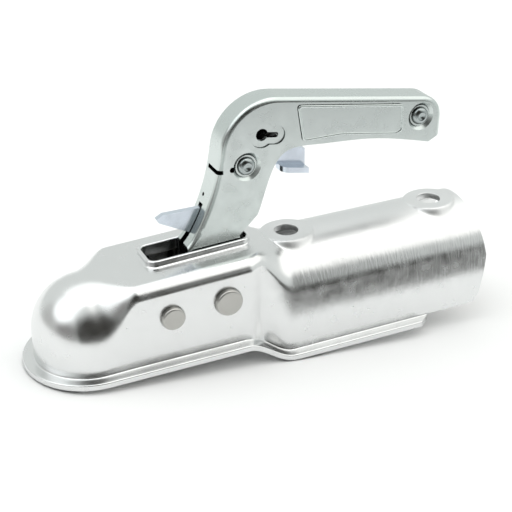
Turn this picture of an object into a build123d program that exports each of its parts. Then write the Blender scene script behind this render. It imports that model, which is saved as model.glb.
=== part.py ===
"""Trailer coupling head for a 50 mm tow ball and a 50 mm round drawbar.

Frame: the ball centre is the origin, +X runs rearward along the drawbar,
+Z is up, and -Y is the side with the pin heads.  All sizes are in mm.
"""
import os
from math import atan2, cos, hypot, radians, sin, sqrt, tan

from build123d import *

os.makedirs("parts", exist_ok=True)

# Sizes of the ball and the drawbar
BALL_D = 50.0             # tow ball
BALL_CLEAR = 0.4          # dome over the ball
DRAWBAR_D = 50.0          # round drawbar tube
DRAWBAR_CLEAR = 0.75      # inverted U over the tube
BOLT_PITCH = 90.0         # the two drawbar bolts
BOLT_HOLE_D = 13.0        # M12 bolts
BOLT_X = 114.2            # ball centre to the first bolt

# Sizes of the pressed body
SHEET = 3.5
NOSE_HALF = 28.5          # half width of the box behind the dome
WAIST_HALF = 25.6         # half width of the neck before the drawbar part
DECK_Z = 30.4             # flat deck above the ball centre, at its front
DECK_SLOPE = 2.2          # degrees, the deck climbs to the rear
DECK_LEN = 20.0           # run in which the dome becomes the box
SHOULDER_R = 7.0          # deck to side wall
FOOT_R = 2.0              # side wall to flange
CROWN_FLAT = 0.25         # half width of the flat left on a round crown
FLANGE_W = 5.9            # flange beyond the side wall, at the dome
FLANGE_REAR_W = 8.2       # flange beyond the side wall, at the drawbar
FRONT_FOOT_Z = -17.3      # underside of the flange at the ball
REAR_FOOT_Z = -28.5       # underside of the flange at the drawbar
NECK_X = 80.0             # the box starts to draw in
NECK_LEN = 10.0
FLARE_LEN = 16.0          # neck out to the drawbar part
END_MARGIN = 22.0         # last bolt to the rear edge
FLANGE_CUT = 17.0         # flange ends this far before the last bolt
ARCH_RISE = 1.0           # crown above a half round over the drawbar
ARCH_LEAN = 12.5          # degrees, the drawbar part's sides lean out below the arch
LEAN_END = -7.5           # and stand upright again below this height
PAD_RISE = 1.2            # bolt pads above a half round over the drawbar
PAD_FALL = 0.5            # a pad's rim spreads this much per mm of fall
PAD_LONG = 14.5           # half sizes of a pad's flat
PAD_WIDE = 12.0

# Sizes of the slot and the pins
SLOT_FRONT = 33.4
SLOT_REAR = 87.4
SLOT_CLEAR = 0.5          # slot beside the handle
SLOT_R = 3.5
COLLAR_T = 2.0
COLLAR_H = 3.4
JAW_PIN_X, JAW_PIN_Z = 36.5, 11.2
JAW_PIN_D = 10.0
JAW_HEAD_D = 12.4
HANDLE_PIN_X, HANDLE_PIN_Z = 67.2, 12.8
HANDLE_PIN_D = 12.0
HANDLE_HEAD_D = 14.6
HEAD_T = 3.0
HEAD_EDGE = 0.8
RUN = 0.05                # radial running clearance of pins
SIDE_PLAY = 0.15          # end play beside a turning piece

# Sizes of the handle
HANDLE_HALF = 8.3
HANDLE_SHEET = 2.2
HANDLE_BEND = 2.6         # outer radius of the channel bend
BOSS_R = 11.5
WEB_FOOT = (-13.0, 23.8)  # lower end of the web, from the handle pin
WEB_FOOT_DIR = 44.0       # heading of the web there, degrees
TOE_R, TOE_TURN = 25.0, 14.0
LEG_R, LEG_TURN = 107.0, 25.0
ELBOW_R, ELBOW_TURN = 29.0, 92.2
GRIP_LEN = 87.0
GRIP_END_R, GRIP_END_TURN = 13.0, 83.0
GRIP_END_LEN = 9.5
GRIP_DEPTH = 25.5         # web to free edge, at the ends of the grip
GRIP_WAIST = 23.0         # and in its middle
LEG_DEPTH = 26.5          # web to free edge, on the leg
GRIP_RIVET_BACK = 13.5    # grip rivet from the outside of the grip's end
RIVET_D = 7.0
RIVET_HEAD_D = 9.8
RIVET_HEAD_T = 1.6
DISH_D = 15.5
DISH_DEPTH = 1.6
DISH_SLOPE = 1.9          # radius lost in the dish's wall
KEY_R = 3.3               # keyhole for the lock
KEY_SLOT = 2.9
KEY_RUN = 9.3
KEY_RIM = 3.6             # pressed rim round the keyhole
KEY_SINK = 0.8
PANEL_RISE = 0.6
ELBOW_RIVET = (14.5, -9.2)   # catch rivet from the top of the leg's web
KEY_SPOT = (23.2, 6.5)       # keyhole from the top of the leg's web
GRIP_RIVET_DROP = 11.0       # grip rivet below the grip's web
CAM_RIVET = (-2.0, 11.0)     # cam rivet from the handle pin
CAM_RIVET_D = 4.0
BLADE_TOP = -21.3            # top edge of the blade from the catch rivet

# Sizes of the catch and the jaw
CATCH_T = 3.0
CATCH_Y = 1.0             # the catch stands off the middle of the channel
CATCH_HUB_R = 8.0
CATCH_SLOT_CLEAR = 0.6
BLADE_REACH = 47.5        # blade tip from the catch rivet, forward
TAB_W = 15.5
TAB_CLEAR = 0.5           # tab inside the channel
JAW_HALF = 10.0
JAW_HUB_R = 9.5
JAW_SEAT = 0.3            # jaw off the ball
CAM_GAP = 0.5             # cam nose off the jaw
SLEEVE_T = 3.0
WIRE_D = 2.0              # jaw and handle springs
CATCH_WIRE_D = 1.0

# Sizes that follow from these
DOME_R = BALL_D / 2 + BALL_CLEAR + SHEET
TUBE_HALF = DRAWBAR_D / 2 + DRAWBAR_CLEAR + SHEET
WAIST_X = NECK_X + NECK_LEN
TUBE_X = WAIST_X + FLARE_LEN
BOLT2_X = BOLT_X + BOLT_PITCH
END_X = BOLT2_X + END_MARGIN
FLANGE_END = BOLT2_X - FLANGE_CUT
PAD_Z = TUBE_HALF + PAD_RISE
INNER = HANDLE_HALF - HANDLE_SHEET
SLOT_HALF = HANDLE_HALF + SLOT_CLEAR
WALL_IN = NOSE_HALF - SHEET
S45 = sqrt(0.5)


def ease(x, a, b):
    """0 before a, 1 after b, smooth between."""
    t = min(1.0, max(0.0, (x - a) / (b - a)))
    return t * t * (3 - 2 * t)


def mix(a, b, t):
    return a + (b - a) * t


def deck(x):
    """Height of the outside of the deck at x."""
    return DECK_Z + (x - DECK_LEN) * tan(radians(DECK_SLOPE))


def hat(x):
    """Half width, crown, shoulder radius, foot, brim and side lean of the body at x."""
    nose, neck = ease(x, 0, DECK_LEN), ease(x, NECK_X, WAIST_X)
    flare, tube = ease(x, WAIST_X, TUBE_X), ease(x, NECK_X + 6, TUBE_X)
    half = mix(mix(mix(DOME_R, NOSE_HALF, nose), WAIST_HALF, neck), TUBE_HALF, flare)
    top = mix(mix(DOME_R, deck(max(x, DECK_LEN)), nose), TUBE_HALF + ARCH_RISE, tube)
    round_dome, round_tube = DOME_R - CROWN_FLAT, TUBE_HALF - CROWN_FLAT
    shoulder = mix(mix(round_dome, SHOULDER_R, nose), round_tube, tube)
    shoulder = min(shoulder, half - CROWN_FLAT)
    foot = mix(FRONT_FOOT_Z, REAR_FOOT_Z, ease(x, NECK_X - 4, TUBE_X - 4))
    brim = mix(DOME_R + FLANGE_W, TUBE_HALF + FLANGE_REAR_W, ease(x, NECK_X, TUBE_X))
    return half, top, shoulder, foot, brim, radians(ARCH_LEAN) * tube


def half_profile(half, top, shoulder, foot, brim, lean):
    """Edges of the +Y half of the hat section as (kind, points), outside first."""
    y0, zs = half - shoulder, top - shoulder
    c, rin, rft = foot + SHEET + FOOT_R, shoulder - SHEET, FOOT_R + SHEET
    on = lambda r, a: (y0 + r * cos(a), zs + r * sin(a))
    half_turn = radians(45) + lean / 2
    ay, az = on(shoulder, lean)
    wall = ay + (az - LEAN_END) * tan(lean)
    bend_in = LEAN_END - SHEET * tan(lean / 2)
    yf = wall + FOOT_R
    outside = [
        ((brim, foot), (brim, foot + SHEET)),
        ((brim, foot + SHEET), (yf, foot + SHEET)),
        ((yf, foot + SHEET), (yf - FOOT_R * S45, c - FOOT_R * S45), (wall, c)),
        ((wall, c), (wall, LEAN_END)),
        ((wall, LEAN_END), (ay, az)),
        ((ay, az), on(shoulder, half_turn), (y0, top)),
    ]
    inside = [
        ((y0, top - SHEET), on(rin, half_turn), on(rin, lean)),
        (on(rin, lean), (wall - SHEET, bend_in)),
        ((wall - SHEET, bend_in), (wall - SHEET, c)),
        ((wall - SHEET, c), (yf - rft * S45, c - rft * S45), (yf, foot)),
        ((yf, foot), (brim, foot)),
    ]
    return outside, inside


def edge(pts, x):
    p = [(x, y, z) for y, z in pts]
    return Line(*p) if len(p) == 2 else ThreePointArc(*p)


def mirrored(parts):
    return [tuple((-y, z) for y, z in reversed(e)) for e in reversed(parts)]


def hat_section(x):
    """The whole hat section at x, a closed band of even sheet."""
    outside, inside = half_profile(*hat(x))
    y0, top = outside[-1][-1]
    loop = (outside + [((y0, top), (-y0, top))] + mirrored(outside)
            + mirrored(inside) + [((-y0, top - SHEET), (y0, top - SHEET))] + inside)
    return make_face([edge(e, x) for e in loop])


def bar(x, z, r, y0, y1):
    """A round bar along Y from y0 to y1."""
    return Pos(x, (y0 + y1) / 2, z) * Rot(90, 0, 0) * Cylinder(r, abs(y1 - y0))


def tube(x, z, r, bore, y0, y1):
    return bar(x, z, r, y0, y1) - bar(x, z, bore, min(y0, y1) - 1, max(y0, y1) + 1)


def plate(face_xz, y0, y1):
    """A face drawn in X and Z, made into a plate from y0 to y1."""
    return Pos(0, y1, 0) * extrude(face_xz, amount=y1 - y0, dir=(0, -1, 0))


def p3(x, z):
    return (x, 0, z)


# Body shell
# The dome is the nose section turned half round the ball's axis.
outside, inside = half_profile(*hat(0))
crown = outside[-1][-1]
nose_loop = (outside + [(crown, (0, crown[1])), ((0, crown[1]), (0, crown[1] - SHEET)),
                        ((0, crown[1] - SHEET), (crown[0], crown[1] - SHEET))] + inside)
dome = revolve(make_face([edge(e, 0) for e in nose_loop]), Axis.Z, 180)

# Behind it lofts run through box, neck and inverted U, smooth where the form turns.
nose = loft([hat_section(DECK_LEN * k / 4) for k in range(5)])
box = loft([hat_section(DECK_LEN), hat_section(NECK_X - 4)], ruled=True)
neck = loft([hat_section(mix(NECK_X - 4, TUBE_X, k / 7)) for k in range(8)])
socket = loft([hat_section(TUBE_X), hat_section(END_X)], ruled=True)
body = dome + nose + box + neck + socket

# Oval bolt pads, pressed up through the crown with the same sheet.
for x in (BOLT_X, BOLT2_X):
    for drop in (0, SHEET):
        flats = [Pos(x, 0, PAD_Z - drop - d)
                 * Ellipse(PAD_LONG + PAD_FALL * (d - drop), PAD_WIDE + PAD_FALL * (d - drop))
                 for d in (0, PAD_RISE + 5)]
        pad = loft(flats)
        body = body - pad if drop else body + pad
    body -= Pos(x, 0, PAD_Z) * Cylinder(BOLT_HOLE_D / 2, 30)

# The slot for the handle, with its rim drawn up as a collar.
slot_x = (SLOT_FRONT + SLOT_REAR) / 2
slot_len = SLOT_REAR - SLOT_FRONT
deck_plane = Plane(origin=(slot_x, 0, deck(slot_x)),
                   x_dir=(cos(radians(DECK_SLOPE)), 0, sin(radians(DECK_SLOPE))),
                   z_dir=(-sin(radians(DECK_SLOPE)), 0, cos(radians(DECK_SLOPE))))
rim = deck_plane * RectangleRounded(slot_len + 2 * COLLAR_T, 2 * (SLOT_HALF + COLLAR_T), SLOT_R + COLLAR_T)
hole = deck_plane * RectangleRounded(slot_len, 2 * SLOT_HALF, SLOT_R)
collar = extrude(rim, amount=COLLAR_H) + extrude(rim, amount=-SHEET * 0.6)
collar = fillet(collar.faces().sort_by(Axis.Z)[-1].edges(), 1.2)
body = body + collar - extrude(hole, amount=COLLAR_H + 5, both=True)

# Pin holes, and the rear edge trimmed as the press left it.
body -= bar(JAW_PIN_X, JAW_PIN_Z, JAW_PIN_D / 2 + RUN, -2 * NOSE_HALF, 2 * NOSE_HALF)
body -= bar(HANDLE_PIN_X, HANDLE_PIN_Z, HANDLE_PIN_D / 2 + RUN, -2 * NOSE_HALF, 2 * NOSE_HALF)
wall_foot = REAR_FOOT_Z + SHEET + FOOT_R - 1.5
trim = [(END_X - 4.5, PAD_Z + 4), (END_X - 4.5, PAD_Z), (END_X, 3),
        (END_X - 5, wall_foot + 5), (END_X - 9, wall_foot), (FLANGE_END, wall_foot),
        (FLANGE_END, REAR_FOOT_Z - 4), (END_X + 9, REAR_FOOT_Z - 4), (END_X + 9, PAD_Z + 4)]
body -= plate(make_face(Polyline(*[p3(x, z) for x, z in trim], close=True)), -2 * NOSE_HALF, 2 * NOSE_HALF)
for s in (1, -1):
    brim = TUBE_HALF + FLANGE_REAR_W + 2
    wall = half_profile(*hat(FLANGE_END))[0][3][0][0]
    corner = [(FLANGE_END, s * wall), (FLANGE_END - 1.2 * (brim - wall), s * brim),
              (FLANGE_END + 4, s * brim), (FLANGE_END + 4, s * wall)]
    corner_face = make_face(Polyline(*corner, close=True))
    body -= Pos(0, 0, REAR_FOOT_Z - 1) * extrude(corner_face, amount=SHEET + FOOT_R + 2)

# Pins
# Turned pins with a flat head on the near side and a closed tail on the far side.


def cross_pin(x, z, d, head_d):
    shank = bar(x, z, d / 2, -NOSE_HALF, NOSE_HALF)
    head = bar(x, z, head_d / 2, -NOSE_HALF - HEAD_T, -NOSE_HALF)
    head = chamfer(head.edges().group_by(Axis.Y)[0], HEAD_EDGE)
    tail = bar(x, z, head_d / 2 - 0.6, NOSE_HALF, NOSE_HALF + HEAD_T * 0.8)
    tail = fillet(tail.edges().group_by(Axis.Y)[-1], HEAD_T * 0.5)
    return shank + head + tail


jaw_pin = cross_pin(JAW_PIN_X, JAW_PIN_Z, JAW_PIN_D, JAW_HEAD_D)
handle_pin = cross_pin(HANDLE_PIN_X, HANDLE_PIN_Z, HANDLE_PIN_D, HANDLE_HEAD_D)

# Clamp jaw
# A forged block that hangs on the front pin and cups the ball from behind.
seat = BALL_D / 2 + JAW_SEAT
lip = (seat * cos(radians(38)), -seat * sin(radians(38)))
jx, jz = JAW_PIN_X, JAW_PIN_Z
tail_x = jx + JAW_HUB_R + 3.5
jaw_face = make_face(Polyline(*[p3(x, z) for x, z in (
    (jx - JAW_HUB_R * 0.9, jz - 3), (seat * 0.8, -2), (lip[0] - 1, lip[1]), (lip[0] + 5, lip[1] - 1.8),
    (jx - 2, lip[1] - 0.5), (tail_x - 2, -8), (tail_x, -3), (tail_x, 2),
    (jx + JAW_HUB_R * 0.85, jz + 3), (jx, jz))], close=True))
clamp_jaw = plate(jaw_face, -JAW_HALF, JAW_HALF) + bar(jx, jz, JAW_HUB_R, -JAW_HALF, JAW_HALF)
clamp_jaw = clamp_jaw - Sphere(seat) - bar(jx, jz, JAW_PIN_D / 2 + RUN, -2 * JAW_HALF, 2 * JAW_HALF)

# Sleeves on the pins
jaw_sleeve = [tube(jx, jz, JAW_PIN_D / 2 + SLEEVE_T, JAW_PIN_D / 2 + RUN,
                   s * (JAW_HALF + SIDE_PLAY), s * (WALL_IN - SIDE_PLAY)) for s in (-1, 1)]
hx, hz = HANDLE_PIN_X, HANDLE_PIN_Z
handle_sleeve = [tube(hx, hz, HANDLE_PIN_D / 2 + SLEEVE_T, HANDLE_PIN_D / 2 + RUN,
                      s * (HANDLE_HALF + SIDE_PLAY), s * (WALL_IN - SIDE_PLAY)) for s in (-1, 1)]

# Handle channel
# The web runs up the leg, round the elbow, along the grip and down its end.


def web(inset):
    """Edges of the web's outside, moved into the channel by inset."""
    a = radians(WEB_FOOT_DIR)
    x, z = hx + WEB_FOOT[0] + inset * sin(a), hz + WEB_FOOT[1] - inset * cos(a)
    edges, pts = [], [(x, z)]
    for r, turn in ((TOE_R, TOE_TURN), (LEG_R, LEG_TURN), (ELBOW_R, -ELBOW_TURN), (GRIP_LEN, 0),
                    (GRIP_END_R, -GRIP_END_TURN), (GRIP_END_LEN, 0)):
        if turn == 0:
            nx, nz = x + r * cos(a), z + r * sin(a)
            edges.append(Line(p3(x, z), p3(nx, nz)))
        else:
            s = 1 if turn > 0 else -1
            r = r + s * inset
            cx, cz = x - s * r * sin(a), z + s * r * cos(a)
            spot = lambda t: (cx + s * r * sin(a + radians(turn) * t),
                              cz - s * r * cos(a + radians(turn) * t))
            (mx, mz), (nx, nz) = spot(0.5), spot(1)
            edges.append(ThreePointArc(p3(x, z), p3(mx, mz), p3(nx, nz)))
            a += radians(turn)
        x, z = nx, nz
        pts.append((x, z))
    return edges, pts


web_edges, web_pts = web(0)
foot_pt, toe_pt, leg_pt, elbow_pt, grip_pt, corner_pt, end_pt = web_pts
slope = atan2(grip_pt[1] - elbow_pt[1], grip_pt[0] - elbow_pt[0])


def on_grip(along, depth):
    """A point along the grip from the elbow, depth below its web."""
    return (elbow_pt[0] + along * cos(slope) + depth * sin(slope),
            elbow_pt[1] + along * sin(slope) - depth * cos(slope))


heel = (leg_pt[0] + 9.8, hz + WEB_FOOT[1] + 1.4)
under = [on_grip(GRIP_LEN + 7.5, GRIP_DEPTH), on_grip(GRIP_LEN * 0.65, GRIP_WAIST),
         on_grip(GRIP_LEN * 0.28, GRIP_DEPTH), on_grip(6.5, GRIP_DEPTH + 4.5),
         (leg_pt[0] + LEG_DEPTH + 1, leg_pt[1] - 16.5), (leg_pt[0] + LEG_DEPTH - 4, leg_pt[1] - 31),
         (leg_pt[0] + LEG_DEPTH - 6.5, leg_pt[1] - 37.5)]
free_edge = Spline(*[p3(x, z) for x, z in under])
handle_face = make_face(web_edges + [
    Line(p3(*end_pt), p3(*under[0])),
    free_edge,
    Line(p3(*under[-1]), p3(*heel)),
    Line(p3(*heel), p3(heel[0] - 1, hz + BOSS_R)),
    Line(p3(heel[0] - 1, hz + BOSS_R), p3(hx + BOSS_R * 0.98, hz)),
    Line(p3(hx + BOSS_R * 0.98, hz), p3(hx - BOSS_R * 0.98, hz)),
    Line(p3(hx - BOSS_R * 0.98, hz), p3(*foot_pt))])
handle = plate(handle_face, -HANDLE_HALF, HANDLE_HALF)
bend = [e for e in handle.edges() if abs(abs(e.center().Y) - HANDLE_HALF) < 0.01
        and any((e.center() - Vector(w.center().X, e.center().Y, w.center().Z)).length < 0.05
                for w in web_edges)]
handle = fillet(bend, HANDLE_BEND)
inner_edges, inner_pts = web(HANDLE_SHEET)
cavity = make_face(inner_edges + [
    Line(p3(*inner_pts[-1]), p3(inner_pts[-1][0], -30)),
    Line(p3(inner_pts[-1][0], -30), p3(foot_pt[0] - 20, -30)),
    Line(p3(foot_pt[0] - 20, -30), p3(foot_pt[0] - 20, inner_pts[0][1])),
    Line(p3(foot_pt[0] - 20, inner_pts[0][1]), p3(*inner_pts[0]))])
handle = handle + bar(hx, hz, BOSS_R, -HANDLE_HALF, HANDLE_HALF) - plate(cavity, -INNER, INNER)

# Pressed dishes for the rivets, the keyhole in its sunk rim, and the raised panel.
ex, ez = leg_pt[0] + ELBOW_RIVET[0], leg_pt[1] + ELBOW_RIVET[1]
gx, gz = on_grip(GRIP_LEN + GRIP_END_R - GRIP_RIVET_BACK, GRIP_RIVET_DROP)
kx, kz = leg_pt[0] + KEY_SPOT[0], leg_pt[1] + KEY_SPOT[1]


def frustum(x, z, y0, r0, y1, r1):
    """A cone stump along Y from radius r0 at y0 to r1 at y1."""
    turn = Rot(-90, 0, 0) if y1 > y0 else Rot(90, 0, 0)
    return Pos(x, (y0 + y1) / 2, z) * turn * Cone(r0, r1, abs(y1 - y0))


def keyhole(grow):
    """Round hole with a slot along the grip, grown by a rim."""
    disc = Circle(KEY_R + grow)
    run = Pos(KEY_RUN / 2, 0) * SlotOverall(KEY_RUN + KEY_SLOT + 2 * grow, KEY_SLOT + 2 * grow)
    flat = disc + Pos(-KEY_SLOT / 2, 0) * run
    return Plane(origin=(kx, 0, kz), x_dir=(cos(slope), 0, sin(slope)), z_dir=(0, -1, 0)) * flat


for s in (-1, 1):
    out, inn = s * HANDLE_HALF, s * INNER
    for x, z in ((ex, ez), (gx, gz)):
        r = DISH_D / 2
        handle += frustum(x, z, inn, r + 0.6, inn - s * DISH_DEPTH, r + 0.6 - DISH_SLOPE)
        handle -= frustum(x, z, out, r, out - s * DISH_DEPTH, r - DISH_SLOPE)
    handle += Pos(0, inn, 0) * extrude(keyhole(KEY_RIM), amount=KEY_SINK, dir=(0, -s, 0))
    handle -= Pos(0, out, 0) * extrude(keyhole(KEY_RIM), amount=KEY_SINK, dir=(0, -s, 0))
handle -= extrude(keyhole(0), amount=2 * HANDLE_HALF, both=True)
panel = [on_grip(11.5, 4.2), on_grip(GRIP_LEN - 13.5, 4.2), on_grip(GRIP_LEN - 11, 18),
         on_grip(GRIP_LEN - 14, 19.6), on_grip(GRIP_LEN * 0.45, 19.2), on_grip(17.5, 22.5)]
panel_face = make_face(Polyline(*[p3(x, z) for x, z in panel], close=True))
panel_plate = plate(panel_face, -HANDLE_HALF - PANEL_RISE, -HANDLE_HALF + 0.1)
handle += fillet(panel_plate.edges().filter_by(Axis.Y), 1.4)
for x, z, r in ((ex, ez, RIVET_D / 2), (gx, gz, RIVET_D / 2), (hx, hz, HANDLE_PIN_D / 2),
                (hx + CAM_RIVET[0], hz + CAM_RIVET[1], CAM_RIVET_D / 2)):
    handle -= bar(x, z, r + RUN, -2 * HANDLE_HALF, 2 * HANDLE_HALF)

# Openings of the web: the blade's slot, the spring slit beside the elbow rivet, two pilot holes.
blade_top = ez + BLADE_TOP
slot_w = CATCH_T + 2 * CATCH_SLOT_CLEAR
handle -= Pos(leg_pt[0] - 8, CATCH_Y, (foot_pt[1] - 4 + blade_top + CATCH_SLOT_CLEAR * 3) / 2) * Box(
    30, slot_w, blade_top + CATCH_SLOT_CLEAR * 3 - foot_pt[1] + 4)
handle -= Pos(leg_pt[0] - 5, -HANDLE_HALF / 4 - 1, ez - 0.6) * Box(12.5, HANDLE_HALF * 1.5 + 2, 2.2)
handle -= bar(ex - 8.2, ez - 0.2, 1.5, -2 * HANDLE_HALF, -INNER + 0.5)
handle -= Pos(leg_pt[0] - 4, CATCH_Y + 1, blade_top + 6) * Rot(0, 90, 0) * Cylinder(1, 16)

# Safety catch
# A flat plate on the elbow rivet: wedge blade in front, bent finger tab behind.
rel = lambda pts: make_face(Polyline(*[p3(ex + x, ez + z) for x, z in pts], close=True))
blade = rel([(-BLADE_REACH + 1.2, BLADE_TOP - 4.2), (-BLADE_REACH, BLADE_TOP - 2.0),
             (-BLADE_REACH + 3.8, BLADE_TOP), (-21.6, BLADE_TOP - 0.2), (-13.4, -13.6),
             (-CATCH_HUB_R * 0.95, 2), (-1, -CATCH_HUB_R * 0.9), (-21.5, -31.5), (-28.6, -34.9)])
trigger = rel([(2, CATCH_HUB_R * 0.95), (24.5, 3.4), (36.7, 0.6), (36.7, -8.6),
               (36.7 - TAB_W, -5.6), (6, -CATCH_HUB_R * 0.7), (0, 0)])
cy0, cy1 = CATCH_Y - CATCH_T / 2, CATCH_Y + CATCH_T / 2
tab_end = rel([(36.7 - TAB_W, -5.6), (36.7, -8.6), (36.7, -8.6 - CATCH_T), (36.7 - TAB_W, -5.6 - CATCH_T)])
tab = plate(tab_end, -INNER + TAB_CLEAR, cy1)
tab = fillet([tab.edges().filter_by(Axis.Z, tolerance=20).group_by(Axis.Y)[0].sort_by(Axis.X)[0]], 4)
safety_catch = plate(blade, cy0, cy1) + bar(ex, ez, CATCH_HUB_R, cy0, cy1) + plate(trigger, cy0, cy1) + tab
safety_catch -= bar(ex, ez, RIVET_D / 2 + RUN, -20, 20)

# Rivets of the handle, with their sleeves
dish_out = HANDLE_HALF - DISH_DEPTH
dish_in = INNER - DISH_DEPTH


def rivet(x, z):
    body = bar(x, z, RIVET_D / 2, -dish_out, dish_out)
    for s in (-1, 1):
        head = bar(x, z, RIVET_HEAD_D / 2, s * dish_out, s * (dish_out + RIVET_HEAD_T))
        body += fillet(head.edges().group_by(Axis.Y)[0 if s < 0 else -1], RIVET_HEAD_T * 0.75)
    return body


catch_rivet, grip_rivet = rivet(ex, ez), rivet(gx, gz)
sleeve_r = RIVET_D / 2 + 2.0
catch_sleeve = [tube(ex, ez, sleeve_r, RIVET_D / 2 + RUN, -dish_in, cy0 - SIDE_PLAY),
                tube(ex, ez, sleeve_r, RIVET_D / 2 + RUN, cy1 + SIDE_PLAY, dish_in)]
grip_sleeve = tube(gx, gz, sleeve_r, RIVET_D / 2 + RUN, -dish_in, dish_in)

# Pressure cam and its rivet
nose_r = 3.0
nx, nz = tail_x + CAM_GAP + nose_r, -0.5
cx, cz = hx + CAM_RIVET[0], hz + CAM_RIVET[1]
cam_hub = HANDLE_PIN_D / 2 + 4
cam_half = INNER - SIDE_PLAY
cam_face = make_face(Polyline(
    p3(nx - 1, nz + nose_r * 0.9), p3(hx - cam_hub * 0.8, hz + cam_hub * 0.6), p3(cx - 4.2, cz + 1),
    p3(cx + 4.2, cz + 1), p3(hx + cam_hub * 0.9, hz + cam_hub * 0.4), p3(hx, hz - cam_hub),
    p3(nx, nz - nose_r), close=True))
pressure_cam = plate(cam_face, -cam_half, cam_half) + bar(hx, hz, cam_hub, -cam_half, cam_half)
pressure_cam += bar(nx, nz, nose_r, -cam_half, cam_half) + bar(cx, cz, 4.4, -cam_half, cam_half)
pressure_cam -= bar(hx, hz, HANDLE_PIN_D / 2 + RUN, -20, 20) + bar(cx, cz, CAM_RIVET_D / 2 + RUN, -20, 20)
cam_rivet = bar(cx, cz, CAM_RIVET_D / 2, -HANDLE_HALF, HANDLE_HALF)

# Torsion springs


def torsion_spring(x, z, r, wire, y0, turns, legs):
    """Close coil along +Y from y0 with straight legs given as (at_end, dx, dz)."""
    pitch = wire * 1.12
    coil = Helix(pitch=pitch, height=pitch * turns, radius=r)
    coil = Pos(x, y0, z) * Rot(-90, 0, 0) * coil
    spring = sweep(Plane(origin=coil @ 0, z_dir=coil % 0) * RegularPolygon(wire / 2, 6), path=coil)
    for at, dx, dz in legs:
        p = coil @ at
        run = hypot(dx, dz)
        leg = Pos(0, 0, run / 2) * Cylinder(wire / 2, run)
        spring += Plane(origin=p, z_dir=(dx, 0, dz)) * leg
    return spring


jaw_spring = torsion_spring(jx, jz, JAW_PIN_D / 2 + SLEEVE_T + WIRE_D / 2 + 0.2, WIRE_D,
                            JAW_HALF + 3, 3.5, [(0, 0, -14), (1, 0, 12)])
handle_spring = torsion_spring(hx, hz, HANDLE_PIN_D / 2 + SLEEVE_T + WIRE_D / 2 + 0.2, WIRE_D,
                               HANDLE_HALF + 4, 3.5, [(0, 0, -13), (1, 0, 12)])
catch_spring = torsion_spring(ex, ez, sleeve_r + CATCH_WIRE_D / 2 + 0.15, CATCH_WIRE_D,
                              -dish_in + CATCH_WIRE_D * 0.6, 1.75, [(0, 0, -9)])

# One file per piece
nodes = {
    "body_shell": body, "jaw_pin": jaw_pin, "handle_pin": handle_pin, "clamp_jaw": clamp_jaw,
    "jaw_sleeve_near": jaw_sleeve[0], "jaw_sleeve_far": jaw_sleeve[1],
    "handle_sleeve_near": handle_sleeve[0], "handle_sleeve_far": handle_sleeve[1],
    "handle_channel": handle, "safety_catch": safety_catch,
    "catch_rivet": catch_rivet, "grip_rivet": grip_rivet,
    "catch_sleeve_near": catch_sleeve[0], "catch_sleeve_far": catch_sleeve[1], "grip_sleeve": grip_sleeve,
    "pressure_cam": pressure_cam, "cam_rivet": cam_rivet,
    "jaw_spring": jaw_spring, "handle_spring": handle_spring, "catch_spring": catch_spring,
}
for name, solid in nodes.items():
    export_step(solid, "parts/" + name + ".step")
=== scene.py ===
from math import radians

import bmesh
import bpy
import numpy as np
from mathutils import Matrix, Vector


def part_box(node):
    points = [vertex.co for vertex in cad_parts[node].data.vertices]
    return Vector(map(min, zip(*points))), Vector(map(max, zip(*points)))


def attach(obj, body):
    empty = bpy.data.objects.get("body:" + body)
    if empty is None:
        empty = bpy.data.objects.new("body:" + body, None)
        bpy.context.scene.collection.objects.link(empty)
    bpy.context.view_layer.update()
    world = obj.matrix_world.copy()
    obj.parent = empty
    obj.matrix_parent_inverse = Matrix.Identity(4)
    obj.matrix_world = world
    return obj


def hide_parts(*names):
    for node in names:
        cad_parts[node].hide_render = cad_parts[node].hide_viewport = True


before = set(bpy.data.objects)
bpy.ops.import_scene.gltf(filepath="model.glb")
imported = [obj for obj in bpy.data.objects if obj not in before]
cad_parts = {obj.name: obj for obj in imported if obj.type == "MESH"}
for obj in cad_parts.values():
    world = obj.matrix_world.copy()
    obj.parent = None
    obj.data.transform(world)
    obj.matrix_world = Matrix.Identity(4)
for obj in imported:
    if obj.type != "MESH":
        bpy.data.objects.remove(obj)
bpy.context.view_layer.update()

# Pressed body
# One blank of sheet steel, deep drawn: a dome over the tow ball, a box with a flat deck, a neck, and an
# inverted U over the drawbar, with a flange round the bottom.  It carries all the other pieces.
# Sizes are in mm from the ball's centre: x to the rear, y across, z up.
SHEET = 3.5
DOME_R = 28.9                       # outside of the dome
NOSE_HALF = 28.5                    # half width of the box behind the dome
WAIST_HALF = 25.6                   # half width of the neck
TUBE_HALF = 29.25                   # half width of the inverted U
DECK_LEN = 20.0                     # run in which the dome becomes the box
DECK_Z = 30.4                       # height of the flat deck at its front
DECK_SLOPE = np.tan(radians(2.2))   # the deck climbs to the rear
SHOULDER_R = 7.0                    # deck to side wall
FOOT_R = 0.9                        # side wall to flange
CROWN_FLAT = 0.25                   # half width of the flat left on a round crown
NECK_X = 80.0                       # the box starts to draw in
WAIST_X = 90.0                      # the neck is narrowest
TUBE_X = 106.0                      # the inverted U is reached
ARCH_X = NECK_X + 6                 # the deck starts to turn into the arch
STEP_X = NECK_X - 4                 # the flange starts to step down
STEP_END = TUBE_X - 4               # and has its lower level
ARCH_RISE = 1.0                     # crown above a half round over the drawbar
ARCH_LEAN = radians(12.5)           # the inverted U's sides lean out below the arch,
LEAN_END = -7.5                     # stand upright again below this height
LEAN_BLEND = 4.0                    # and turn as softly as this
FRONT_FOOT = -17.3                  # underside of the flange at the ball
REAR_FOOT = -28.5                   # and at the drawbar
FLANGE_W = 5.9                      # flange beyond the dome
FLANGE_REAR_W = 8.2                 # flange beyond the inverted U
FLANGE_ROUND = 0.7                  # rounded edge of the flange
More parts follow.
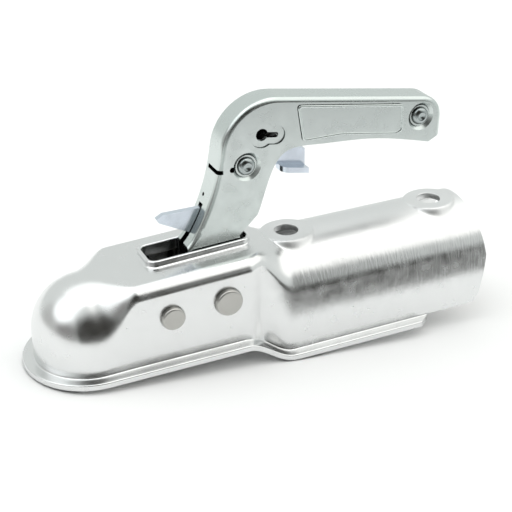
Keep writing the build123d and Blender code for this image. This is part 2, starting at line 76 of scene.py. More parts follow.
BOLT_X = 114.2                      # first drawbar bolt
PITCH = 90.0                        # from it to the last one
PAD_Z = TUBE_HALF + 1.2             # flat of the bolt pads
FLANGE_END = BOLT_X + PITCH - 17.0  # the flange ends before the last bolt
END_X = BOLT_X + PITCH + 22.0       # rear edge
WALL_FOOT = REAR_FOOT + SHEET + 0.5  # lower edge of the walls behind the flange
CORNER_FROM = 31.9                  # the flange's rear corners are cut off from here outward,
CORNER_SLANT = 1.2                  # by this many mm forward per mm


def ease(x, a, b):
    """0 before a and 1 after b, with the smooth step of 3 t squared less 2 t cubed between them."""
    t = np.clip((x - a) / (b - a), 0, 1)
    return t * t * (3 - 2 * t)


def mix(a, b, t):
    """The value that lies t of the way from a to b."""
    return a + (b - a) * t


def hat_sizes(x):
    """Half width, crown, shoulder radius, foot, brim and side lean of the hat section at each x: the
    dome's values eased into the box's, the neck's and the inverted U's."""
    nose = ease(x, 0, DECK_LEN)
    neck = ease(x, NECK_X, WAIST_X)
    flare = ease(x, WAIST_X, TUBE_X)
    arch = ease(x, ARCH_X, TUBE_X)
    deck = DECK_Z + np.maximum(x - DECK_LEN, 0) * DECK_SLOPE
    half = mix(mix(mix(DOME_R, NOSE_HALF, nose), WAIST_HALF, neck), TUBE_HALF, flare)
    top = mix(mix(DOME_R, deck, nose), TUBE_HALF + ARCH_RISE, arch)
    shoulder = mix(mix(DOME_R - CROWN_FLAT, SHOULDER_R, nose), TUBE_HALF - CROWN_FLAT, arch)
    shoulder = np.minimum(shoulder, half - CROWN_FLAT)
    foot = mix(FRONT_FOOT, REAR_FOOT, ease(x, STEP_X, STEP_END))
    brim = mix(DOME_R + FLANGE_W, TUBE_HALF + FLANGE_REAR_W, ease(x, NECK_X, TUBE_X))
    return half, top, shoulder, foot, brim, ARCH_LEAN * arch


def steps(count):
    """A row of even steps that ends at 1 and leaves out 0."""
    return np.linspace(0, 1, count + 1)[None, 1:]


def half_hat(x, flanged=True):
    """The half section at each x as two arrays, outward and upward: a flat crown, an arc down to the
    side's lean, the leaning side, which turns upright along a hyperbola, the wall, a fillet and the flange
    with a rounded edge.  The inside takes the same steps one sheet deeper and is listed backwards, so that
    both make one band."""
    half, top, shoulder, foot, brim, lean = (np.asarray(v, float)[:, None] for v in hat_sizes(x))
    quarter = np.pi / 2
    arc_y = half - shoulder
    arc_z = top - shoulder
    fillet_z = foot + SHEET + FOOT_R
    wall = arc_y + shoulder * np.cos(lean) + (arc_z + shoulder * np.sin(lean) - LEAN_END) * np.tan(lean)
    wall_end = fillet_z if flanged else WALL_FOOT + 0 * fillet_z
    flat = arc_y * np.linspace(0, 1, 6)[None]
    fall = quarter - (quarter - lean) * steps(40)
    bend = quarter * steps(8)
    lip = quarter * steps(6)
    sides = []
    for depth, down in ((0, 1), (SHEET, -1)):
        radius = shoulder - depth
        fillet = FOOT_R + depth
        level = foot + SHEET - depth
        wall_z = mix(arc_z + radius * np.sin(lean), wall_end, steps(16))
        above = wall_z - LEAN_END + depth * np.tan(lean / 2)
        leaning = np.tan(lean) * (above + np.hypot(above, LEAN_BLEND)) / 2
        y = [flat, arc_y + radius * np.cos(fall), wall - depth - leaning]
        z = [top - depth + 0 * flat, arc_z + radius * np.sin(fall), wall_z]
        if flanged:
            y += [wall + FOOT_R - fillet * np.cos(bend), mix(wall + FOOT_R, brim - FLANGE_ROUND, steps(4)),
                  brim - FLANGE_ROUND + FLANGE_ROUND * np.sin(lip)]
            z += [fillet_z - fillet * np.sin(bend), level + 0 * steps(4),
                  level - down * FLANGE_ROUND * (1 - np.cos(lip))]
        sides.append(np.stack([np.concatenate(y, 1), np.concatenate(z, 1)]))
    outside, inside = sides
    return np.concatenate([outside, inside[..., ::-1]], -1)


def crown(x, y, depth):
    """Height of the skin over a point of the plan, depth below its outside: level over the flat, and down
    the shoulder's arc beyond it."""
    half, top, shoulder = hat_sizes(x)[:3]
    over = np.clip(np.abs(y) - (half - shoulder), 0, shoulder - depth)
    return top - shoulder + np.sqrt(np.maximum((shoulder - depth) ** 2 - over ** 2, 0))


def quads(rows, cols, start, closed):
    """Faces of a grid of rows by cols vertices that begins at start, closed if the last column meets the
    first."""
    row = np.arange(rows - 1)[:, None] * cols + start
    here = np.arange(cols if closed else cols - 1)[None]
    following = (here + 1) % cols
    corners = [row + here, row + following, row + cols + following, row + cols + here]
    return np.stack(corners, -1).reshape(-1, 4)


def joined(grids):
    """One array of vertices and one of faces from grids given as (points, flip, closed)."""
    verts, faces, start = [], [], 0
    for grid, flip, closed in grids:
        patch = quads(*grid.shape[:2], start, closed)
        verts.append(grid.reshape(-1, 3))
        faces.append(patch[:, ::-1] if flip else patch)
        start += grid.shape[0] * grid.shape[1]
    return np.concatenate(verts), np.concatenate(faces)


# The skin runs from the rear of the far side round the nose to the rear of the near side.
round_nose = np.linspace(0, np.pi, 121)[:, None]
out, up = half_hat(np.zeros(1))
nose = np.stack([-out * np.sin(round_nose), out * np.cos(round_nose), up + 0 * round_nose], -1)
stations = np.concatenate([np.linspace(0, DECK_LEN, 31), np.linspace(DECK_LEN, STEP_X, 43)[1:],
                           np.linspace(STEP_X, TUBE_X, 41)[1:], np.linspace(TUBE_X, FLANGE_END, 55)[1:]])
out, up = half_hat(stations)
along_tube = np.clip((stations - TUBE_X) / (FLANGE_END - TUBE_X), 0, 1)[:, None]
slant = np.maximum(out - CORNER_FROM, 0) * CORNER_SLANT * along_tube
flank = np.stack([stations[:, None] - slant, out, up], -1)
skin = np.concatenate([flank[:0:-1], nose, flank[1:] * [1, -1, 1]])

# The press rounds off the change from the dome to the straight side: the rows near it are drawn towards
# the mean of their neighbours, above the flange only.
ROUNDED_TO = 12           # this far from the change,
ROUNDED_FULLY = 7         # and in full this near to it
ROUNDED_ABOVE = (-11, -3)   # heights between which it sets in
ROUNDING_PASSES = 40
near_change = ease(-np.abs(skin[..., 0]), -ROUNDED_TO, -ROUNDED_FULLY)
pull = near_change * ease(skin[..., 2], *ROUNDED_ABOVE)
for _ in range(ROUNDING_PASSES):
    skin[1:-1] += pull[1:-1, :, None] * ((skin[:-2] + skin[2:]) / 4 - skin[1:-1] / 2)

# Behind the flange the walls run on alone to a rear edge trimmed to four points.
REAR_EDGE_Z = (WALL_FOOT, WALL_FOOT + 5, 3, PAD_Z)
REAR_EDGE_X = (END_X - 9, END_X - 5, END_X, END_X - 4.5)
FLANGE_TOP = WALL_FOOT + 1.5
TAIL_ROWS = 25
grids = [(skin, False, False)]
for side in (1, -1):
    outside, inside = np.split(flank[-1] * [1, side, 1], 2)
    low = outside[:, 2] < FLANGE_TOP
    grids.append((np.stack([outside[low], inside[::-1][low]]), side > 0, False))
    out, up = half_hat(np.full(TAIL_ROWS, FLANGE_END), flanged=False)
    rear = np.interp(up, REAR_EDGE_Z, REAR_EDGE_X)
    tail = np.stack([mix(FLANGE_END, rear, np.linspace(0, 1, TAIL_ROWS)[:, None]), out * side, up], -1)
    outside, inside = np.split(tail, 2, axis=1)
    grids.append((tail, side > 0, False))
    grids.append((np.stack([outside[-1], inside[-1, ::-1]]), side > 0, False))
    grids.append((np.stack([outside[:, -1], inside[:, 0]]), side < 0, False))
verts, faces = joined(grids)
middle = verts[faces].mean(1)

# Bolt pads of the body
# Two ovals pressed up through the crown, flat on top for the drawbar bolts' washers, each with its hole.
# The skin is cut away round each bolt and a patch that swells into the pad is put in.
PAD_LONG = 14.5           # half sizes of a pad's flat
PAD_WIDE = 13.0
PAD_FALL = 1.7            # a pad's rim falls this much per mm
RIM_ROUND = 0.2           # rounding of the rim, in square mm
CREASE = 1.1              # height over which the rim runs into the crown
PAD_REACH = 9.0           # the patch goes this far beyond the flat,
REAR_REACH = 17.0         # and to the rear no further than this from the last bolt
PAD_LAP = 0.9             # it laps this far over the skin,
LIFT = 0.012              # a hair above it, with its border
TUCK = 0.02               # tucked under,
SETTLE = 60               # and rises to that lift at this rate
ARCH_FLOOR = 12           # only skin above this height is cut
HOLE_R = 6.5
HOLE_ROUND = 0.5          # rounded edge of the hole


def pad_radius(angle, shrink=0.0):
    """Distance from a bolt's axis to the edge of its pad's flat: the polar form of an ellipse whose half
    sizes are less by shrink."""
    long = PAD_LONG - shrink
    wide = PAD_WIDE - shrink
    return long * wide / np.hypot(wide * np.cos(angle), long * np.sin(angle))


def pad_reach(angle, last):
    """How far the patch goes from its bolt: beyond the flat, and for the last bolt to a straight line
    before the rear edge, whose distance is over the cosine, kept above 0.05."""
    reach = pad_radius(angle) + PAD_REACH
    if last:
        reach = np.minimum(reach, REAR_REACH / np.maximum(np.cos(angle), 0.05))
    return reach


def pad_skin(x, y, angle, radius, depth):
    """The higher of the crown and of a flat pad with a falling rim.  The rim starts along a hyperbola, and
    a parabola fills the crease where the two are within CREASE of each other."""
    beyond = radius - pad_radius(angle, depth / 2)
    pad = PAD_Z - depth - PAD_FALL / 2 * (beyond + np.sqrt(beyond ** 2 + RIM_ROUND))
    base = crown(x, y, depth)
    return np.maximum(base, pad) + np.maximum(CREASE - np.abs(base - pad), 0) ** 2 / (4 * CREASE)


cut = np.zeros(len(faces), bool)
rims = []
around = np.linspace(0, 2 * np.pi, 121)[None, :-1]
inward = np.linspace(0, 1, 42)[:, None]
turned = (np.arange(1, 5) / 5 * np.pi / 2)[:, None]
edge_r = HOLE_R + HOLE_ROUND - HOLE_ROUND * np.sin(turned)
edge_drop = HOLE_ROUND * (1 - np.cos(turned))
proud = LIFT * (1 - np.exp(-SETTLE * inward)) - TUCK * (inward == 0)
for bolt, last in ((BOLT_X, False), (BOLT_X + PITCH, True)):
    dx, dy = middle[:, 0] - bolt, middle[:, 1]
    near = np.hypot(dx, dy) < pad_reach(np.arctan2(dy, dx), last) - PAD_LAP
    cut |= near & (middle[:, 2] > ARCH_FLOOR)
    radius = mix(pad_reach(around, last), HOLE_R + HOLE_ROUND, inward)
    x, y = bolt + radius * np.cos(around), radius * np.sin(around)
    edge_x, edge_y = bolt + edge_r * np.cos(around), edge_r * np.sin(around)
    rim = []
    for depth, way in ((0, 1), (SHEET, -1)):
        z = pad_skin(x, y, around, radius, depth) + way * proud
        edge = np.stack([edge_x, edge_y, z[-1:] - way * edge_drop], -1)
        rim.append(np.concatenate([np.stack([x, y, z], -1), edge]))
    rims.append((np.concatenate([rim[0], rim[1][::-1]]), False, True))

# Handle slot of the body
# The slot that the handle comes up through.  Its rim is drawn up out of the deck as a collar, with a
# fillet at its foot.
SLOT_FRONT = 33.4
SLOT_REAR = 87.4
SLOT_HALF = 8.8
SLOT_R = 3.5              # corners of the slot
COLLAR_T = 2.0
COLLAR_H = 3.4
COLLAR_FOOT = 1.3         # fillet on the deck,
FOOT_LAP = 0.5            # which runs on by this much
MOUTH_R = 0.8             # upper edges, inside and outside
BRIM_R = 0.9
UNDER_R = 1.0             # lower edge under the deck
UNDER_REACH = 2.2
SINK = 0.02               # the collar's two borders lie this far inside the skin
SLOT_LAP = 1.0            # the skin is cut this far round the collar
DECK_FLOOR = 22           # above this height
CORNER_POINTS = 12


def arc(cx, cy, r, a0, a1, count):
    """Points of a circle's arc from a0 to a1 degrees."""
    a = np.radians(np.linspace(a0, a1, count))
    return np.stack([cx + r * np.cos(a), cy + r * np.sin(a)], 1)


slot_x = (SLOT_FRONT + SLOT_REAR) / 2
slot_half_len = (SLOT_REAR - SLOT_FRONT) / 2
past_x = np.maximum(np.abs(middle[:, 0] - slot_x) - slot_half_len + SLOT_R, 0)
past_y = np.maximum(np.abs(middle[:, 1]) - SLOT_HALF + SLOT_R, 0)
cut |= (np.hypot(past_x, past_y) < SLOT_R + COLLAR_T + SLOT_LAP) & (middle[:, 2] > DECK_FLOOR)

# The collar's profile of (outward, upward) is carried round the slot, on the deck's plane up to its brim
# and on the skin from its foot outward.
corner_x = np.repeat([SLOT_REAR - SLOT_R, SLOT_FRONT + SLOT_R, SLOT_FRONT + SLOT_R, SLOT_REAR - SLOT_R],
                     CORNER_POINTS)
corner_y = np.repeat([1, 1, -1, -1], CORNER_POINTS) * (SLOT_HALF - SLOT_R)
heading = np.concatenate([np.linspace(0, np.pi / 2, CORNER_POINTS) + k * np.pi / 2 for k in range(4)])
wall_part = np.concatenate([[[UNDER_REACH, -SHEET - SINK]],
                            arc(UNDER_R, -SHEET + UNDER_R, UNDER_R, 270, 180, 6),
                            arc(MOUTH_R, COLLAR_H - MOUTH_R, MOUTH_R, 180, 90, 7),
                            arc(COLLAR_T - BRIM_R, COLLAR_H - BRIM_R, BRIM_R, 90, 0, 7)])
foot_part = np.concatenate([arc(COLLAR_T + COLLAR_FOOT, COLLAR_FOOT, COLLAR_FOOT, 180, 270, 10),
                            [[COLLAR_T + COLLAR_FOOT + FOOT_LAP, -SINK]]])
outward, upward = np.concatenate([wall_part, foot_part]).T[..., None]
on_skin = np.repeat([0, 1], [len(wall_part), len(foot_part)])[:, None]
x = corner_x + (SLOT_R + outward) * np.cos(heading)
y = corner_y + (SLOT_R + outward) * np.sin(heading)
level = mix(DECK_Z + (x - DECK_LEN) * DECK_SLOPE, crown(x, y, 0), on_skin)
rims.append((np.stack([x, y, level + upward], -1), True, True))

# Zinc plate of the body
# Electroplated bright zinc over rolled steel: near white, with a satin gloss that is uneven from patch to
# patch.  The die has left drag lines across the inverted U, drawn coarser than real so that they show.
# Creases and fillets are darkened in the colour as painted shade.
MM = 0.001
JOIN_MM = 0.002           # vertices as near as this are one
WAVE_MM = 24              # the sheet's own slow unevenness
BLOOM_MM = 7              # patches of finer and coarser crystals,
FINER = 0.03              # which are less rough by this
COARSER = 0.05            # or rougher by this
NOISE_SPAN = (0.3, 0.7)   # where most of a noise pattern's values lie
MATT_SPAN = (24, 29)      # heights between which the drawn crown turns matt,
MATT = 0.2                # and the roughness that it gains there
DRAG_RUN = 6              # half the run in which the drag lines set in,
FAINT = 0.1               # and the share of their depth before it
scene = bpy.context.scene


def linear(code):
    """An sRGB hex code such as c8cccf as linear red, green, blue and alpha 1: a straight line near black,
    and a power of 2.4 above it."""
    c = np.array([int(code[k:k + 2], 16) for k in (0, 2, 4)]) / 255
    return (*np.where(c <= 0.04045, c / 12.92, ((c + 0.055) / 1.055) ** 2.4), 1.0)


def node(tree, kind, inputs=None, **settings):
    """Adds one node: settings are its properties, inputs are values or sockets."""
    added = tree.nodes.new(kind)
    for key, value in settings.items():
        setattr(added, key, value)
    for key, value in (inputs or {}).items():
        if isinstance(value, bpy.types.NodeSocket):
            tree.links.new(value, added.inputs[key])
        else:
            added.inputs[key].default_value = value
    return added


def new_material(name):
    """An empty node material and its tree."""
    material = bpy.data.materials.new(name)
    material.use_nodes = True
    material.node_tree.nodes.clear()
    return material, material.node_tree


def metal_finish(name, colour, rough, drag_mm, drag_depth, wave_depth=0.0, drag_from=None,
                 painted_shade="3a3d3c", dark_at=0.12, clear_at=0.6, crevice=10):
    """Plated or bare steel.  drag_mm is the size of the tool marks along x, y and z, and drag_depth their
    depth.  wave_depth is that of the sheet's unevenness.  Where less than dark_at of the surroundings
    within crevice mm is open, the metal takes the given dark colour as painted shade, and from clear_at on
    its own colour.  With drag_from, the tool marks set in at that x, and from there on the crown is matt."""
    material, tree = new_material(name)
    place = node(tree, "ShaderNodeTexCoord").outputs["Object"]
    mark_scale = [1000 / size for size in drag_mm]
    marks_at = node(tree, "ShaderNodeMapping", {"Vector": place, "Scale": mark_scale}).outputs[0]
    drag = node(tree, "ShaderNodeTexNoise",
                {"Vector": marks_at, "Scale": 1.0, "Detail": 1.6, "Roughness": 0.5}).outputs[0]
    slow = node(tree, "ShaderNodeTexNoise",
                {"Vector": place, "Scale": 1000 / WAVE_MM, "Detail": 1.5, "Roughness": 0.45}).outputs[0]
    bloom = node(tree, "ShaderNodeTexNoise",
                 {"Vector": place, "Scale": 1000 / BLOOM_MM, "Detail": 2.0, "Roughness": 0.5}).outputs[0]
    finest, coarsest = NOISE_SPAN
    gloss = node(tree, "ShaderNodeMapRange",
                 {0: bloom, 1: finest, 2: coarsest, 3: rough - FINER, 4: rough + COARSER}).outputs[0]
    mark_depth = drag_depth * MM
    if drag_from is not None:
        x, _, z = node(tree, "ShaderNodeSeparateXYZ", {0: place}).outputs
        drawn = {0: x, 1: (drag_from - DRAG_RUN) * MM, 2: (drag_from + DRAG_RUN) * MM}
        mark_depth = node(tree, "ShaderNodeMapRange",
                          {**drawn, 3: mark_depth * FAINT, 4: mark_depth}).outputs[0]
        matt = node(tree, "ShaderNodeMapRange", {**drawn, 3: 0.0, 4: MATT}).outputs[0]
        on_top = node(tree, "ShaderNodeMapRange",
                      {0: z, 1: MATT_SPAN[0] * MM, 2: MATT_SPAN[1] * MM, 3: 0.0, 4: 1.0}).outputs[0]
        gloss = node(tree, "ShaderNodeMath", {0: matt, 1: on_top, 2: gloss},
                     operation="MULTIPLY_ADD").outputs[0]
    waves = node(tree, "ShaderNodeBump",
                 {"Height": slow, "Strength": 1.0, "Distance": wave_depth * MM}).outputs[0]
    relief = node(tree, "ShaderNodeBump",
                  {"Height": drag, "Strength": 1.0, "Distance": mark_depth, "Normal": waves}).outputs[0]
    # Painted shade: the colour is mixed towards the dark shade colour where little of the surroundings is
    # open.
    open_share = node(tree, "ShaderNodeAmbientOcclusion", {"Distance": crevice * MM},
                      samples=16).outputs["AO"]
    clear = node(tree, "ShaderNodeMapRange",
                 {0: open_share, 1: dark_at, 2: clear_at, 3: 0.0, 4: 1.0}).outputs[0]
    base = node(tree, "ShaderNodeMix", {0: clear, 6: linear(painted_shade), 7: linear(colour)},
                data_type="RGBA").outputs[2]
    metal = node(tree, "ShaderNodeBsdfPrincipled",
                 {"Base Color": base, "Metallic": 1.0, "Roughness": gloss, "Normal": relief})
    node(tree, "ShaderNodeOutputMaterial", {"Surface": metal.outputs[0]})
    return material


def mesh_object(name, verts, faces, material, body=None, slot=None, stands_for=(), sharp=40, solid=False):
    """A piece from vertices in mm and faces: doubles joined, shaded smooth up to the sharp angle, and
    riding on its body in place of the CAD nodes that it stands for.  A solid's faces are turned outward."""
    mesh = bpy.data.meshes.new(name)
    mesh.from_pydata((np.asarray(verts) * MM).tolist(), [], np.asarray(faces).tolist())
    bm = bmesh.new()
    bm.from_mesh(mesh)
    bmesh.ops.remove_doubles(bm, verts=bm.verts, dist=JOIN_MM * MM)
    if solid:
        bmesh.ops.recalc_face_normals(bm, faces=bm.faces)
    bm.to_mesh(mesh)
    bm.free()
    mesh.shade_smooth()
    mesh.set_sharp_from_angle(angle=radians(sharp))
    mesh.materials.append(material)
    obj = bpy.data.objects.new(name, mesh)
    scene.collection.objects.link(obj)
    if body:
        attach(obj, body)
    if stands_for:
        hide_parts(*stands_for)
    return obj


# The dark grey 232524 is painted shade in the fillets and creases within 2.4 mm.
body_zinc = metal_finish("bright_zinc_body", "e5e6e6", 0.23, (1.1, 7, 7), 0.05, wave_depth=0.20,
                         drag_from=104, painted_shade="232524", dark_at=0.42, clear_at=0.72, crevice=2.4)
rim_verts, rim_faces = joined(rims)
mesh_object("pressed_body", np.concatenate([verts, rim_verts]),
            np.concatenate([faces[~cut], rim_faces + len(verts)]),
            body_zinc, "shell", "zinc_body", ("body_shell",))

# Cross pins
# Two pins turned from bar and left plain, so a darker and warmer grey than the zinc round them.  They are
# pushed through the side walls: a flat head with a rolled edge on the near side, and a tail closed on the
# far wall.
HEAD_T = 3.0
HEAD_ROUND = 1.0          # rolled edge of the head
HEAD_RIM = 1.5            # inside this width its face is a little hollow,
HEAD_DISH = (0.15, 0.1, 0.02)   # by this much in the middle, half way out and at the rim
TAIL_T = 2.4
TAIL_ROUND = 1.2
TAIL_LESS = 0.6           # the tail is this much smaller in radius
WALL_SINK = 0.1           # the shank's ends lie this far inside the walls' outer faces
AXIS_R = 0.001            # a turned profile's end points, which meet on the axis when doubles are joined
# The dark 2e2c2a is painted shade where the pins are enclosed, such as under the heads against the walls.
pin_steel = metal_finish("plain_steel", "bbbab6", 0.34, (2, 2, 2), 0.004, painted_shade="2e2c2a")


def lathe(node_name, profile):
    """A profile of (radius, y) turned about the Y axis through the middle of a CAD node."""
    low, high = np.array(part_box(node_name)) / MM
    a = np.linspace(0, 2 * np.pi, 97)[None, :-1]
    r, y = np.asarray(profile).T[..., None]
    middle_x, _, middle_z = (low + high) / 2
    grid = np.stack([middle_x + r * np.cos(a), y + 0 * a, middle_z + r * np.sin(a)], -1)
    return joined([(grid, False, True)])


for name, head, shank in (("jaw_pin", 6.2, 5.0), ("handle_pin", 7.3, 6.0)):
    face = -NOSE_HALF - HEAD_T
    end = NOSE_HALF + TAIL_T
    tail = head - TAIL_LESS
    profile = np.concatenate([
        np.stack([[AXIS_R, head / 2, head - HEAD_RIM], face + np.array(HEAD_DISH)], 1),
        arc(head - HEAD_ROUND, face + HEAD_ROUND, HEAD_ROUND, 270, 360, 8),
        [[head, -NOSE_HALF], [shank, WALL_SINK - NOSE_HALF]],
        [[shank, NOSE_HALF - WALL_SINK], [tail, NOSE_HALF]],
        arc(tail - TAIL_ROUND, end - TAIL_ROUND, TAIL_ROUND, 0, 90, 8),
        [[AXIS_R, end]]])
    mesh_object(name + "_turned", *lathe(name, profile), pin_steel, "shell", "plain_steel_pin", (name,),
                sharp=50, solid=True)

# Handle
# A channel pressed from zinc plated sheet, with an elbow between leg and grip and faint lines along its
# length.  Its inside is painted near black as shade.  It keeps the form of its solid, and a fine bead is
# rolled round the raised panel on the grip's near side.
PANEL = np.array([(117.0, 103.6), (178.2, 93.9), (178.6, 80.2), (175.2, 78.8), (141.8, 84.4), (120.0, 84.7)])
PANEL_CORNER = 1.6
PANEL_Y = -8.86           # just under the panel's face
BEAD_HALF = 0.75
BEAD_RISE = 0.42
# The near black 0b0c0b is painted shade inside the channel, within 20 mm of enclosing walls.
handle_zinc = metal_finish("bright_zinc_handle", "d1d8d6", 0.24, (9, 0.9, 9), 0.004, wave_depth=0.05,
                           painted_shade="0b0c0b", dark_at=0.4, clear_at=0.57, crevice=20)


def coat(node_name, material):
    """Gives a CAD node this material alone."""
    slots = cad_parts[node_name].data.materials
    slots.clear()
    slots.append(material)


def rounded_run(corners, radius, count=9):
    """A closed run of points along a polygon: at each corner a quadratic curve that starts and ends at
    the radius from it, with the corner as its control point."""
    before = np.roll(corners, 1, 0) - corners
    after = np.roll(corners, -1, 0) - corners
    first = corners + before / np.linalg.norm(before, axis=1, keepdims=True) * radius
    last = corners + after / np.linalg.norm(after, axis=1, keepdims=True) * radius
    t = np.linspace(0, 1, count)[None, :, None]
    curve = (1 - t) ** 2 * first[:, None] + 2 * t * (1 - t) * corners[:, None] + t ** 2 * last[:, None]
    return curve.reshape(-1, 2)


coat("handle_channel", handle_zinc)
run = rounded_run(PANEL, PANEL_CORNER)
ahead = np.roll(run, -1, 0) - np.roll(run, 1, 0)
ahead /= np.linalg.norm(ahead, axis=1, keepdims=True)
a = np.linspace(0, np.pi, 11)[:, None]
across = BEAD_HALF * np.cos(a)
bead = np.stack([run[:, 0] + across * ahead[:, 1], PANEL_Y - BEAD_RISE * np.sin(a) + 0 * run[:, 0],
                 run[:, 1] - across * ahead[:, 0]], -1)
mesh_object("grip_panel_border", *joined([(bead, False, True)]), handle_zinc, "handle", "zinc_handle",
            sharp=60)

# Safety catch
# A flat stamped plate on the elbow rivet, with a wedge blade in front and a bent finger tab behind, plated
# with a bluer zinc than the handle.  It keeps the form of its solid.
# The near black 0b0c0b is painted shade where the catch is tightly enclosed inside the channel.
catch_zinc = metal_finish("bright_zinc_catch", "d6dee8", 0.22, (6, 6, 6), 0.004,
                          painted_shade="0b0c0b", dark_at=0.05, clear_at=0.12, crevice=4)
coat("safety_catch", catch_zinc)

# Handle rivets
# Button rivets through the handle's elbow and the end of its grip, set in pressed dishes and polished, so
# darker than the handle and sharper in their reflections.  The tool that closed them left a shallow dimple
# in the middle of each button.
DISH_FLOOR = 6.6          # floor of a dish, from the handle's middle
BUTTON = np.array([(AXIS_R, 2.15), (0.8, 2.18), (1.4, 2.35), (1.9, 2.6), (2.5, 2.65), (3.2, 2.48),
                   (3.9, 2.1), (4.5, 1.5), (4.8, 0.9), (4.9, 0.2), (4.7, 0.02), (3.5, 0.0)])
# The dark 1a1b1a is painted shade on the buttons where the dishes enclose them.
rivet_zinc = metal_finish("bright_zinc_rivet", "a9b0b0", 0.17, (2, 2, 2), 0.002,
                          painted_shade="1a1b1a", dark_at=0.2, clear_at=0.7)
far_button = BUTTON + [0, DISH_FLOOR]
profile = np.concatenate([far_button * [1, -1], far_button[::-1]])
for name in ("catch_rivet", "grip_rivet"):
    mesh_object(name + "_button", *lathe(name, profile), rivet_zinc, "handle", "bright_rivet", (name,),
                sharp=60, solid=True)

# Mechanism inside
# Jaw, cam, sleeves and springs, of oiled steel, dull grey.  Inside the body and the channel they are darker
# from real shade and from painted shade in their colour.  They keep the form of their solids.  The nodes
# that the pieces above stand for are hidden, and get the same finish.
# The dark 1d1c1b is painted shade where the mechanism is enclosed.
oiled_steel = metal_finish("oiled_steel", "8f8f8b", 0.45, (2, 2, 2), 0.01, painted_shade="1d1c1b")
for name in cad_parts:
    if name not in ("handle_channel", "safety_catch"):
        coat(name, oiled_steel)

# Table
# A plain table, matt white.  The head rests on the front of its flange and on the flange's step at the
# rear, so the table leans by a few degrees in the head's own frame.  It ends about 15 cm before the head.
TOUCH_FRONT = (-34.8, -17.5)
TOUCH_REAR = (103.0, -28.8)
TABLE_SIDE = 1500
TABLE_NEAR = -192
TABLE_FAR = 2500
lean = (TOUCH_REAR[1] - TOUCH_FRONT[1]) / (TOUCH_REAR[0] - TOUCH_FRONT[0])
table_white, tree = new_material("white_table")
paint = node(tree, "ShaderNodeBsdfDiffuse", {"Color": linear("fbfbfb")})
node(tree, "ShaderNodeOutputMaterial", {"Surface": paint.outputs[0]})
table_x = np.array([-TABLE_SIDE, TABLE_SIDE, TABLE_SIDE, -TABLE_SIDE])
table_y = np.array([TABLE_NEAR, TABLE_NEAR, TABLE_FAR, TABLE_FAR])
table_z = TOUCH_FRONT[1] + lean * (table_x - TOUCH_FRONT[0])
corners = np.stack([table_x, table_y, table_z], -1)
mesh_object("white_table", corners, [(0, 1, 2, 3)], table_white)

# Light tent
# A pale tent round the table, with soft boxes to the left, to the right and overhead.  It is open in front,
# where the dark room draws the dark bands along the shoulders of the bright metal.
scene.view_settings.view_transform = "Standard"
world = bpy.data.worlds.new("light_tent")
scene.world = world
world.use_nodes = True
tree = world.node_tree
tree.nodes.clear()
ray = node(tree, "ShaderNodeTexCoord").outputs["Generated"]


def patch(az, el, near, far):
    """1 within near degrees of the direction az (from -Y towards +X) and el, and 0 beyond far degrees."""
    a, e = radians(az), radians(el)
    aim = (np.sin(a) * np.cos(e), -np.cos(a) * np.cos(e), np.sin(e))
    dot = node(tree, "ShaderNodeVectorMath", {0: ray, 1: aim}, operation="DOT_PRODUCT").outputs["Value"]
    return node(tree, "ShaderNodeMapRange",
                {0: dot, 1: np.cos(radians(far)), 2: np.cos(radians(near)), 3: 0.0, 4: 1.0},
                interpolation_type="SMOOTHSTEP").outputs[0]


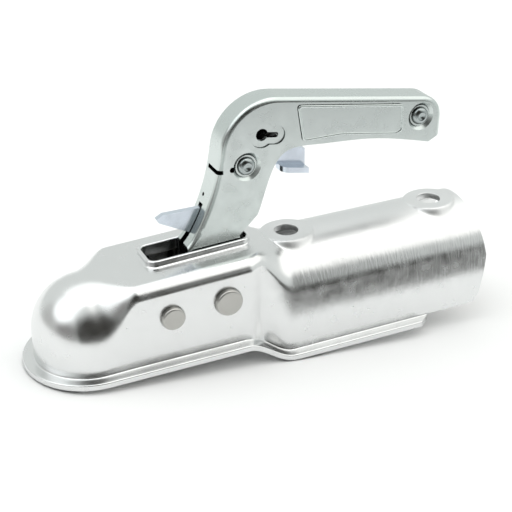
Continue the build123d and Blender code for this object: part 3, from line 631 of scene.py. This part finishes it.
tent = linear("e4e8e6")
for az, el, near, far, code, strength in (
        (-100, 8, 20, 45, "c0c1bf", 1.0),    # grey cloth low on the left
        (-62, 10, 8, 30, "878584", 1.0),     # the fold where the left cloth ends
        (-8, 20, 18, 42, "2f2d29", 1.0),     # the open side with the dark room
        (22, -9, 10, 19, "2f2d29", 1.0),     # the dark below the table's near edge
        (24, -40, 14, 24, "ffffff", 1.3),    # the bright floor before the table
        (-90, 52, 22, 32, "fcffff", 1.48),   # left soft box
        (66, 52, 31, 40, "fffffc", 1.42),    # right soft box
        (0, 84, 8, 16, "ffffff", 1.42)):     # overhead soft box
    glow = tuple(strength * c for c in linear(code)[:3]) + (1.0,)
    tent = node(tree, "ShaderNodeMix", {0: patch(az, el, near, far), 6: tent, 7: glow},
                data_type="RGBA").outputs[2]
from_camera = node(tree, "ShaderNodeLightPath").outputs["Is Camera Ray"]
seen = node(tree, "ShaderNodeMix", {0: from_camera, 6: tent, 7: linear("ffffff")},
            data_type="RGBA").outputs[2]
sky = node(tree, "ShaderNodeBackground", {"Color": seen, "Strength": 1.0})
node(tree, "ShaderNodeOutputWorld", {"Surface": sky.outputs[0]})

LAMP_AT = (0.05, 0.25, 1.25)   # metres
LAMP_SIZE = 1.3
LAMP_WATTS = 3.2
lamp = bpy.data.objects.new("overhead", bpy.data.lights.new("overhead", "AREA"))
lamp.data.shape = "SQUARE"
lamp.data.size = LAMP_SIZE
lamp.data.energy = LAMP_WATTS
lamp.location = LAMP_AT
scene.collection.objects.link(lamp)

# Camera
# It stands in front, to the left and above, as the photograph's did.  Its place and lens were fitted to
# the bolt holes, rivets, pin heads, flange and dome.
AZIMUTH = radians(-24.54)
ELEVATION = radians(28.5)
ROLL = radians(-0.58)
CAMERA_AT = (-135.51, -507.42, 321.21)
FOCAL_PX = 1175.27        # focal length in pixels of a frame FRAME_PX wide
FRAME_PX = 512
SENSOR = 36
camera = bpy.data.objects.new("camera", bpy.data.cameras.new("camera"))
scene.collection.objects.link(camera)
scene.camera = camera
camera.data.sensor_width = SENSOR
camera.data.lens = FOCAL_PX / FRAME_PX * SENSOR
camera.data.clip_start = 0.01
camera.data.clip_end = 20
back = np.array([np.sin(AZIMUTH) * np.cos(ELEVATION), -np.cos(AZIMUTH) * np.cos(ELEVATION),
                 np.sin(ELEVATION)])
right = np.array([np.cos(AZIMUTH), np.sin(AZIMUTH), 0.0])
above = np.cross(back, right)
stance = np.eye(4)
stance[:3, 0] = np.cos(ROLL) * right + np.sin(ROLL) * above
stance[:3, 1] = np.cos(ROLL) * above - np.sin(ROLL) * right
stance[:3, 2] = back
stance[:3, 3] = np.array(CAMERA_AT) * MM
camera.matrix_world = Matrix(stance.tolist())
